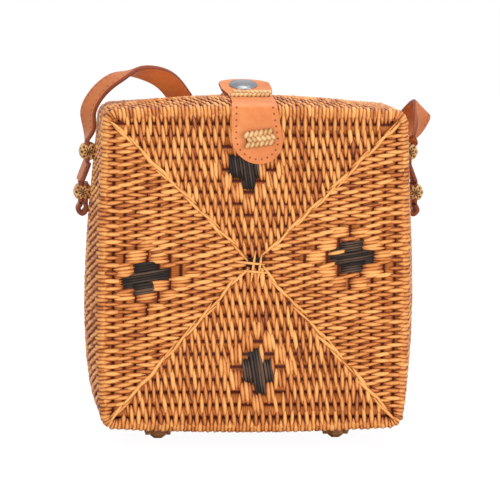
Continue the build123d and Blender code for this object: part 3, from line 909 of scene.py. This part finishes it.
upper_y = -19.6 * mm
upper_z = top_crest(upper_y) + leather_seat + leather / 2 + 1.3 * mm
upper_tilt = math.radians(42)
upper_up = (0, math.cos(upper_tilt), math.sin(upper_tilt))
upper_out = (0, -math.sin(upper_tilt), math.cos(upper_tilt))
upper_centre = Vector((-1.6 * mm, upper_y, upper_z))
upper_bed = (24.5 * mm, 5.6 * mm, 2.8 * mm)
upper_surface = flat_surface(upper_centre, (1, 0, 0), upper_up, upper_out)
plait("upper", braid_rows(25 * mm, 5.6 * mm, 2), upper_surface)
braid_bed("upper_braid_bed", upper_centre, upper_bed, Matrix.Rotation(upper_tilt, 4, "X"))
braid_bed("lower_braid_bed", lower_centre, lower_bed, Matrix.Rotation(-lower_tilt, 4, "Y"))
repaint(braid_grass, "rear_braid")
repaint(tab_leather, "rear_tab")


# Snap
# A domed steel cap with a rolled rim, riveted through the flap. The snap's two flat halves
# lie below it, one under the flap and one on the rear tab.
cap_back = 1.2 * mm
# Radius and height of the cap in mm, from its rolled rim to the top of its dome
cap_rim = [(9.4, -0.2), (9.4, 0.35), (9.1, 0.7), (8.5, 0.75), (8.1, 0.5)]
cap_dome = [(7.4, 0.8), (4.5, 1.3), (0, 1.55)]


def steel_material():
    """Polished grey steel, a little cloudy."""
    n = Nodes(bpy.data.materials.new("steel"))
    colour = n.ramp(n.noise(60.0), (0.3, (0.15, 0.16, 0.18)), (0.7, (0.32, 0.32, 0.33)))
    return n.finish(colour, 0.28, Metallic=1.0)


steel = steel_material()


def spun_cap():
    """Cap turned from its profile about its own axis."""
    bm = bmesh.new()
    verts = [bm.verts.new((x * mm, 0, z * mm)) for x, z in cap_rim + cap_dome]
    edges = [bm.edges.new(pair) for pair in zip(verts, verts[1:])]
    bmesh.ops.spin(
        bm, geom=verts + edges, axis=(0, 0, 1), cent=(0, 0, 0), steps=48,
        angle=2 * math.pi, use_merge=True,
    )
    bmesh.ops.remove_doubles(bm, verts=bm.verts, dist=0.001 * mm)
    bmesh.ops.recalc_face_normals(bm, faces=bm.faces)
    place = Matrix.Translation(middle + Vector((0, flap_pivot_y, flap_pivot_z)))
    place = place @ Matrix.Rotation(flap_lean, 4, "X")
    place = place @ Matrix.Translation((flap_centre, snap_out + cap_back, leather / 2))
    bmesh.ops.transform(bm, matrix=place, verts=bm.verts)
    return fasten(new_piece("snap_dome", bm, steel), "flap")


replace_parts(spun_cap(), "snap_cap")
repaint(steel, "snap_upper", "snap_lower")


# Woven keepers and hinge knots
# Small barrels of split grass wound crosswise: four keepers hold the strap's ends against
# the side walls, and two knots under the bottom tie the shells together.
keeper_radius = 5.4 * mm
keeper_half = 9.8 * mm
keeper_rise = 0.7 * mm
keeper_strand = 3.0 * mm
strands_around = 8
core_share = 0.88


def knot_radius(along):
    """Radius of a keeper at a place along its axis, from end to end."""
    share = np.clip(np.abs(along) / keeper_half, 0, 1)
    return keeper_radius * np.sqrt(np.clip(1 - share**4, 0.02, 1))


def knot_surface(centre):
    """Barrel with round ends whose axis runs from front to back: places round it and along."""

    def place(around, along):
        angle = around / keeper_radius
        share = np.sin(np.clip(along / keeper_half, -1, 1) * math.pi / 2)
        out = np.stack([np.cos(angle), np.zeros_like(angle), np.sin(angle)], 1)
        points = np.array(centre) + out * knot_radius(share * keeper_half)[:, None]
        points[:, 1] += share * keeper_half
        normal = out * np.sqrt(1 - 0.9 * share**6)[:, None]
        normal[:, 1] += share**3
        return points, normal / np.linalg.norm(normal, axis=1)[:, None]

    return place


def knot_rows():
    """Two families of strands that cross each other round a keeper, from end to end."""
    rows = []
    reach = 0.98 * keeper_half
    for family, lift in ((-1, -1.25 * mm), (1, -1.0 * mm)):
        for index in range(strands_around):
            around = (index + 0.5) * 2 * math.pi * keeper_radius / strands_around
            tone = seed.uniform(0.45, 0.95)
            rows.append((around, -reach, reach, keeper_strand, lift, 0.8 * family, tone))
    return rows


def knot_ball(name, centre):
    """Barrel, dark with painted shade, that closes the holes between a keeper's strands."""
    bm = bmesh.new()
    bmesh.ops.create_uvsphere(bm, u_segments=20, v_segments=14, radius=1.0)
    turn = Matrix.Rotation(math.pi / 2, 4, "X")
    bmesh.ops.transform(bm, matrix=turn, verts=bm.verts)
    for vert in bm.verts:
        along = vert.co.y * keeper_half
        flat = Vector((vert.co.x, 0, vert.co.z))
        reach = float(knot_radius(np.array([along]))[0]) if flat.length > 0.01 else 0
        out = flat.normalized() * reach + Vector((0, along, 0))
        vert.co = centre + middle + out * core_share
    return fasten(new_piece(name, bm, painted_shade_core), "back")


knot_grass = strand_material(
    "knot_grass", (0.30, 0.10, 0.028), (0.62, 0.32, 0.11), (0.86, 0.57, 0.26)
)
# How far each keeper lies from its plain solid in mm, to the right and up
keeper_shifts = {
    "left_lower": (0.0, 3.0),
    "left_upper": (1.0, 3.0),
    "right_lower": (1.3, 3.2),
    "right_upper": (-0.4, 3.6),
}
for name, (shift_x, shift_z) in keeper_shifts.items():
    low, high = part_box("strap_keeper_" + name)
    x = low.x + keeper_radius if "left" in name else high.x - keeper_radius
    centre = Vector((x, (low.y + high.y) / 2, (low.z + high.z) / 2)) - middle
    centre += Vector((shift_x, 0, shift_z)) * mm
    lay_strands(
        "keeper_strands_" + name, knot_rows(), knot_surface(centre), "back", "plaited_grass",
        knot_grass, keeper_rise,
    )
    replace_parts(knot_ball("keeper_core_" + name, centre), "strap_keeper_" + name)
repaint(knot_grass, *[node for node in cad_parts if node.startswith("hinge_")])


# Shoulder strap
# Two layers of leather stitched along both edges, folded back at each end and held by
# its keepers. It arches over the bag's corners, turns over and falls behind the bag.
strap_width = 15.5 * mm
strap_thickness = 3.0 * mm
strap_layer = 1.6 * mm
strap_bulge = strap_layer + 1.1 * mm
strap_shift = 0.6 * mm
strap_drop = 11.5 * mm
held = 6.0 * mm
free = 7.6 * mm
lie = strap_thickness / 2 - middle.z
keeper_y = 10.6 * mm
keeper_out = 5.7 * mm
low_keeper_z = 44.5 * mm
high_keeper_z = 71 * mm
wall_depth = -face_y - keeper_y
strap_steps = 8
strap_hole_row = 5.4 * mm


def keeper_place(side, z):
    """Centre of a keeper beside the back shell's wall."""
    high = top_reach - outer_corner
    low = outer_corner - bottom_reach
    share = ((z - low) / (high - low)) ** (1 / side_sag)
    bow = flare(wall_depth, bulges[1]) * 4 * share * (1 - share)
    return Vector((side * (half_width + bow + keeper_out), keeper_y, z))


def strap_tail(side):
    """Stations of one end, with the tail folded up inside the lower keeper. Between its
    keepers the left end is turned a little."""
    low, high = keeper_place(side, low_keeper_z), keeper_place(side, high_keeper_z)
    low_places = [
        (-strap_layer, held),
        (-strap_layer, -held),
        (-strap_layer, -free),
        (strap_shift - strap_bulge, -strap_drop),
        (strap_shift, -strap_drop - strap_bulge),
        (strap_shift + strap_bulge, -strap_drop),
        (strap_layer, -free),
        (strap_layer, -held),
        (strap_layer, held),
        (strap_layer, free),
    ]
    high_places = [(0, -free), (0, -held), (0, held), (0, free)]
    places = [low + Vector((side * x, 0, z)) for x, z in low_places]
    places += [high + Vector((0, 0, z)) for x, z in high_places]
    turned = {-1: (9, 10), 1: ()}[side]
    widths = [Vector((-0.15, 0.98, 0) if i in turned else (0, 1, 0)) for i in range(len(places))]
    return list(zip(places, widths))


# The strap between its upper keepers: over the left corner, down behind the bag, along the
# floor and up over the right corner. Each station is a place in mm and the width's direction.
loose = [
    ((-104.8, 10.6, 86.5), (-0.40, 0.92, 0.00)),
    ((-105.3, 11.0, 98.0), (-0.52, 0.85, 0.10)),
    ((-98.5, 12.0, 109.8), (-0.40, 0.87, 0.28)),
    ((-87.0, 15.0, 118.8), (-0.25, 0.92, 0.26)),
    ((-73.5, 22.0, 122.8), (-0.38, 0.85, -0.35)),
    ((-56.0, 32.0, 118.0), (-0.50, 0.55, -0.67)),
    ((-44.5, 43.0, 106.5), (-0.62, 0.42, -0.66)),
    ((-36.0, 51.5, 91.0), (-0.85, 0.40, -0.30)),
    ((-34.5, 56.0, 66.0), (-0.93, 0.36, 0.00)),
    ((-38.0, 59.0, 28.0), (-0.80, 0.60, 0.00)),
    ((-45.0, 61.0, -14.0), (-0.60, 0.80, 0.05)),
    ((-52.5, 62.0, -56.0), (-0.30, 0.95, 0.05)),
    ((-57.0, 62.0, -88.0), (-0.08, 1.00, 0.02)),
    ((-53.0, 62.0, -106.0), (0.00, 1.00, 0.00)),
    ((-40.0, 62.0, lie / mm), (0.00, 1.00, 0.00)),
    ((-14.0, 62.0, lie / mm), (0.00, 1.00, 0.00)),
    ((18.0, 62.0, lie / mm), (0.00, 1.00, 0.00)),
    ((48.0, 62.0, lie / mm), (0.00, 1.00, 0.00)),
    ((70.0, 62.0, lie / mm), (0.00, 1.00, 0.00)),
    ((84.0, 62.0, -106.0), (0.00, 1.00, 0.00)),
    ((88.5, 61.5, -88.0), (0.10, 0.99, 0.00)),
    ((87.0, 60.5, -48.0), (0.45, 0.89, 0.00)),
    ((85.0, 59.0, -4.0), (0.80, 0.60, 0.00)),
    ((85.0, 57.5, 38.0), (0.93, 0.36, -0.05)),
    ((90.0, 55.5, 64.0), (0.92, 0.34, -0.20)),
    ((102.0, 50.5, 79.0), (0.76, 0.30, -0.58)),
    ((112.5, 42.0, 92.5), (0.72, 0.16, -0.68)),
    ((117.0, 34.0, 98.5), (0.71, 0.10, -0.70)),
    ((117.5, 27.5, 96.5), (0.69, 0.24, -0.68)),
    ((113.5, 19.5, 87.5), (0.40, 0.82, -0.40)),
]
stations = strap_tail(-1)
stations += [(Vector(place) * mm, Vector(wide)) for place, wide in loose]
stations += strap_tail(1)[::-1]


def smooth_route(stations, steps):
    """Stations with evenly blended ones between them, none below the floor."""
    out = []
    last = len(stations) - 1
    for i in range(last):
        four = [stations[max(i - 1, 0)], stations[i], stations[i + 1], stations[min(i + 2, last)]]
        for step in range(steps):
            t = step / steps
            weights = (
                -0.5 * t + t * t - 0.5 * t**3,
                1 - 2.5 * t * t + 1.5 * t**3,
                0.5 * t + 2 * t * t - 1.5 * t**3,
                -0.5 * t * t + 0.5 * t**3,
            )
            place = sum((q[0] * w for q, w in zip(four, weights)), Vector())
            wide = sum((q[1] * w for q, w in zip(four, weights)), Vector())
            out.append((place, wide))
    out.append(stations[-1])
    return [(Vector((p.x, p.y, max(p.z, lie))), wide) for p, wide in out]


def strap_frames(route):
    """Place, width direction and outer side at each station of the route."""
    frames = []
    for index, (place, wide) in enumerate(route):
        before = route[max(index - 1, 0)][0]
        after = route[min(index + 1, len(route) - 1)][0]
        ahead = (after - before).normalized()
        out = ahead.cross(wide).normalized()
        frames.append((place, out.cross(ahead), out))
    return frames


frames = strap_frames(smooth_route(stations, strap_steps))
# The section runs from the left edge over the inner face to the right edge and back over the
# outer face. Its sides are outer face, 0, inner face, 1, or cut edge, 2.
half_wide = strap_width / 2
half_thick = strap_thickness / 2
right_edge = [
    (half_wide - 1.35 * mm, -half_thick),
    (half_wide - 0.45 * mm, -half_thick + 0.05 * mm),
    (half_wide, -half_thick * 0.6),
]
inner_face = [(-x, y) for x, y in right_edge[::-1]] + [(0, -half_thick)] + right_edge
section = inner_face + [(-x, -y) for x, y in inner_face]
section_finish = [2, 1, 1, 1, 1, 2, 2, 2, 0, 0, 0, 0, 2, 2]
# The outer face's colours are darker than the inner face's: painted shade where the strap's outer
# side falls in shade.
shaded_strap_outer = leather_material(
    "shaded_strap_outer", (0.42, 0.105, 0.027), (0.54, 0.155, 0.042), (0.66, 0.23, 0.070), 0.45
)
strap_inner = leather_material(
    "strap_inner", (0.46, 0.110, 0.030), (0.66, 0.195, 0.055), (0.78, 0.29, 0.09)
)


def strap_piece():
    """Ribbon through all stations: rings of the section joined, closed at both ends."""
    bm = bmesh.new()
    rings = []
    for place, across, out in frames:
        rings.append([bm.verts.new(place + across * x + out * y + middle) for x, y in section])
    for near, far in zip(rings, rings[1:]):
        for i, finish in enumerate(section_finish):
            j = (i + 1) % len(section)
            face = bm.faces.new((near[i], near[j], far[j], far[i]))
            face.material_index = finish
            face.smooth = True
    for end in (rings[0][::-1], rings[-1]):
        bm.faces.new(end).material_index = 2
    bmesh.ops.recalc_face_normals(bm, faces=bm.faces)
    return new_piece("strap_leather", bm, shaded_strap_outer, strap_inner, leather_edge, smooth=False)


strap = fasten(strap_piece(), "back")
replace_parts(strap, "shoulder_strap")


def strap_surface(side, reach):
    """Outer face of the strap at a share of its route."""
    points, normals = [], []
    for s, r in zip(side, reach):
        index = min(int(r), len(frames) - 2)
        share = r - index
        place = frames[index][0].lerp(frames[index + 1][0], share)
        across = frames[index][1].lerp(frames[index + 1][1], share)
        out = frames[index][2].lerp(frames[index + 1][2], share)
        points.append(place + across * s)
        normals.append(out.normalized())
    return np.array(points), np.array(normals)


def strap_holes():
    """Stitch holes in two rows at an even distance along the route."""
    places = []
    walked = 0
    for index in range(len(frames) - 1):
        step = (frames[index + 1][0] - frames[index][0]).length
        while walked < step:
            for row in (-1, 1):
                places.append((row * strap_hole_row, index + walked / step))
            walked += hole_spacing
        walked -= step
    return places


punched_holes(
    "strap_holes", strap_holes(), strap_surface, strap_thickness / 2, "back"
)


# Stage
# A pale floor, a white backdrop, three soft lights and a long lens from slightly left of the
# bag's front. Sight and shadows pass mostly through the floor, because the opened front
# shell hangs below it.
floor_clear = 0.85
floor_glow = 0.7
sky_light = 0.45
camera_azimuth = math.radians(5.5)
camera_elevation = math.radians(6.3)
camera_roll = math.radians(0.64)
camera_distance = 1.83
pixels_per_mm = 1.554
view_pixels = 500
sensor = 36.0
aim = middle + Vector((-3.1 * mm, face_y, 11.3 * mm))

camera_data = bpy.data.cameras.new("camera")
camera = bpy.data.objects.new("camera", camera_data)
bpy.context.scene.collection.objects.link(camera)
bpy.context.scene.camera = camera
away = Vector((
    -math.sin(camera_azimuth) * math.cos(camera_elevation),
    -math.cos(camera_azimuth) * math.cos(camera_elevation),
    math.sin(camera_elevation),
))
camera.location = aim + away * camera_distance
camera.rotation_mode = "QUATERNION"
camera.rotation_quaternion = (-away).to_track_quat("-Z", "Y") @ Quaternion((0, 0, 1), camera_roll)
camera_data.sensor_width = sensor
camera_data.lens = pixels_per_mm * 1000 * camera_distance * sensor / view_pixels
camera_data.clip_start = 0.05
camera_data.clip_end = 50

world = bpy.data.worlds.new("studio")
bpy.context.scene.world = world
sky = Nodes(world, "Background")
rays = sky.add("LightPath").outputs
seen = sky.math("MAXIMUM", rays["Is Camera Ray"], rays["Is Glossy Ray"])
strength = sky.add("MapRange", Value=seen, To_Min=sky_light, To_Max=1.0)
sky.feed(sky.shader, "Color", (1, 1, 1, 1))
sky.feed(sky.shader, "Strength", strength.outputs["Result"])


def floor_material():
    """Pale matt floor, nearly clear to the camera and to shadows."""
    n = Nodes(bpy.data.materials.new("pale_floor"))
    rays = n.add("LightPath").outputs
    passing = n.math("MAXIMUM", rays["Is Camera Ray"], rays["Is Shadow Ray"])
    veil = n.math("SUBTRACT", 1.0, n.math("MULTIPLY", passing, floor_clear))
    glow = n.math("MULTIPLY", rays["Is Camera Ray"], floor_glow)
    return n.finish(
        (0.85, 0.85, 0.85), 0.9, Alpha=veil, Emission_Color=(1, 1, 1, 1), Emission_Strength=glow
    )


bm = bmesh.new()
bmesh.ops.create_grid(bm, x_segments=1, y_segments=1, size=4.0)
new_piece("floor", bm, floor_material())

# Each light's place and width in metres, and its power in watts
for name, place, size, power in (
    ("key", (-0.7, -1.6, 0.6), 0.8, 10.5),
    ("fill", (1.2, -1.3, 0.1), 1.0, 12.5),
    ("top", (0.1, 0.1, 1.5), 0.8, 13),
):
    light_data = bpy.data.lights.new(name, "AREA")
    light_data.energy = power
    light_data.size = size
    light = bpy.data.objects.new(name, light_data)
    light.location = place
    light.rotation_mode = "QUATERNION"
    light.rotation_quaternion = (middle - Vector(place)).to_track_quat("-Z", "Y")
    bpy.context.scene.collection.objects.link(light)

bpy.context.scene.view_settings.view_transform = "Standard"
